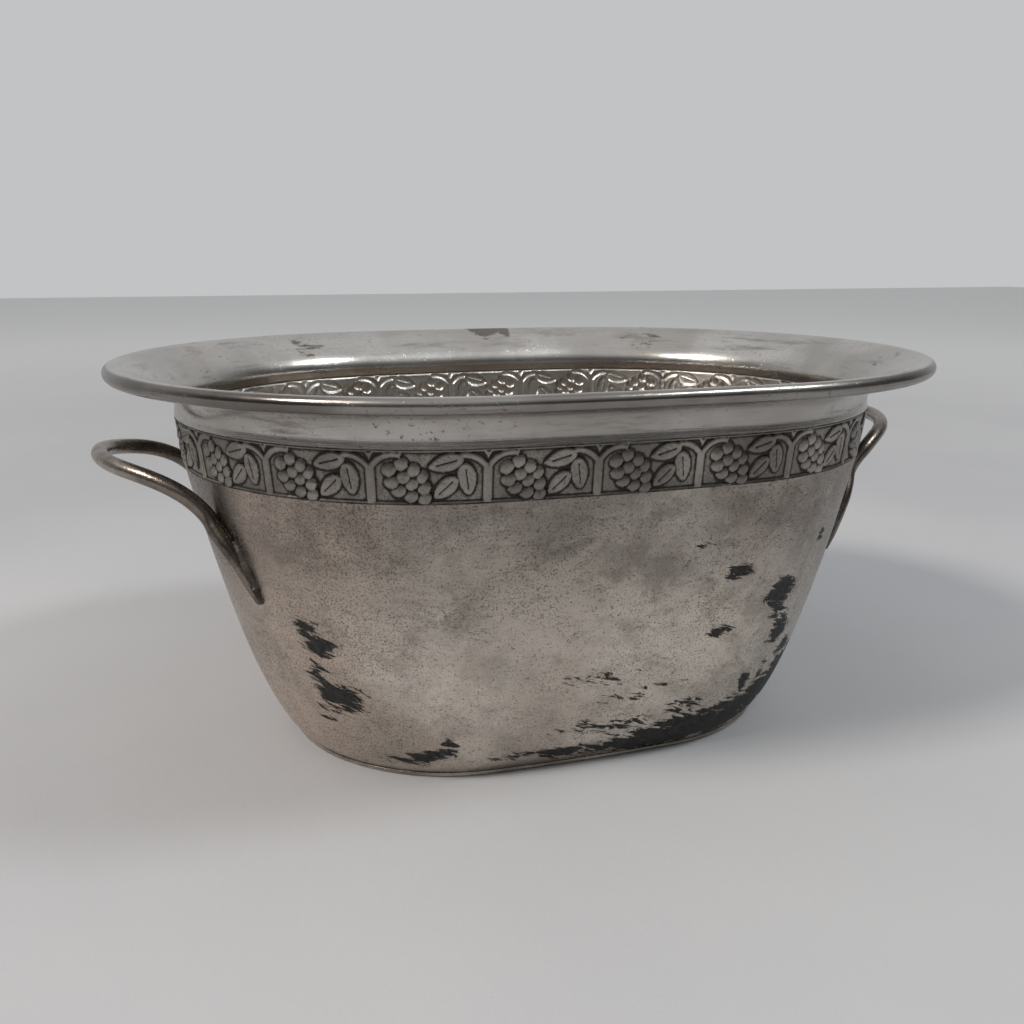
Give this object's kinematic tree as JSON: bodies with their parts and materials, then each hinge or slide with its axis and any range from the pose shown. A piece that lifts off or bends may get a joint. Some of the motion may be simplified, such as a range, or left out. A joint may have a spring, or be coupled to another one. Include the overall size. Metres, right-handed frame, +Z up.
{
  "type": "oval champagne bucket",
  "caption": "Large oval metal ice bucket with a flared rolled lip, a stamped grape-vine band and fixed bent-rod handles at the ends.",
  "frame": {"origin": "on the table plane, under the middle of the oval", "axes": "+X along the long axis through both handles, +Y to the far long side, +Z up"},
  "size_m": [0.5222, 0.386, 0.2317],
  "materials": {
    "silver_plate": "aged silver plate, finely scratched and pitted, worn through to dark metal near the base",
    "base_sheet": "dull aged silver plate with water marks",
    "foot_wire": "aged silver plate, rubbed on the underside",
    "frieze_silver": "stamped relief, dark patina in the hollows and rubbed bright on the high points",
    "collar_silver": "aged silver plate, brighter on the lip, with dark tarnish streaks",
    "rim_core": "plain iron wire, hidden in the rolled edge",
    "handle_silver": "dark aged silver plate, rubbed bright along the outside of the bend",
    "solder": "dull grey soft solder"
  },
  "bodies": {
    "root": {"body_wall": "silver_plate", "base_plate": "base_sheet", "base_seam": "solder", "foot_ring": "foot_wire", "foot_seam": "solder", "frieze_band": "frieze_silver", "lower_band_solder": "solder", "upper_band_solder": "solder", "collar": "collar_silver", "rim_wire": "rim_core", "handle_left": "handle_silver", "handle_right": "handle_silver", "handle_left_solder_front": "solder", "handle_left_solder_back": "solder", "handle_right_solder_front": "solder", "handle_right_solder_back": "solder"}
  },
  "joints": []
}
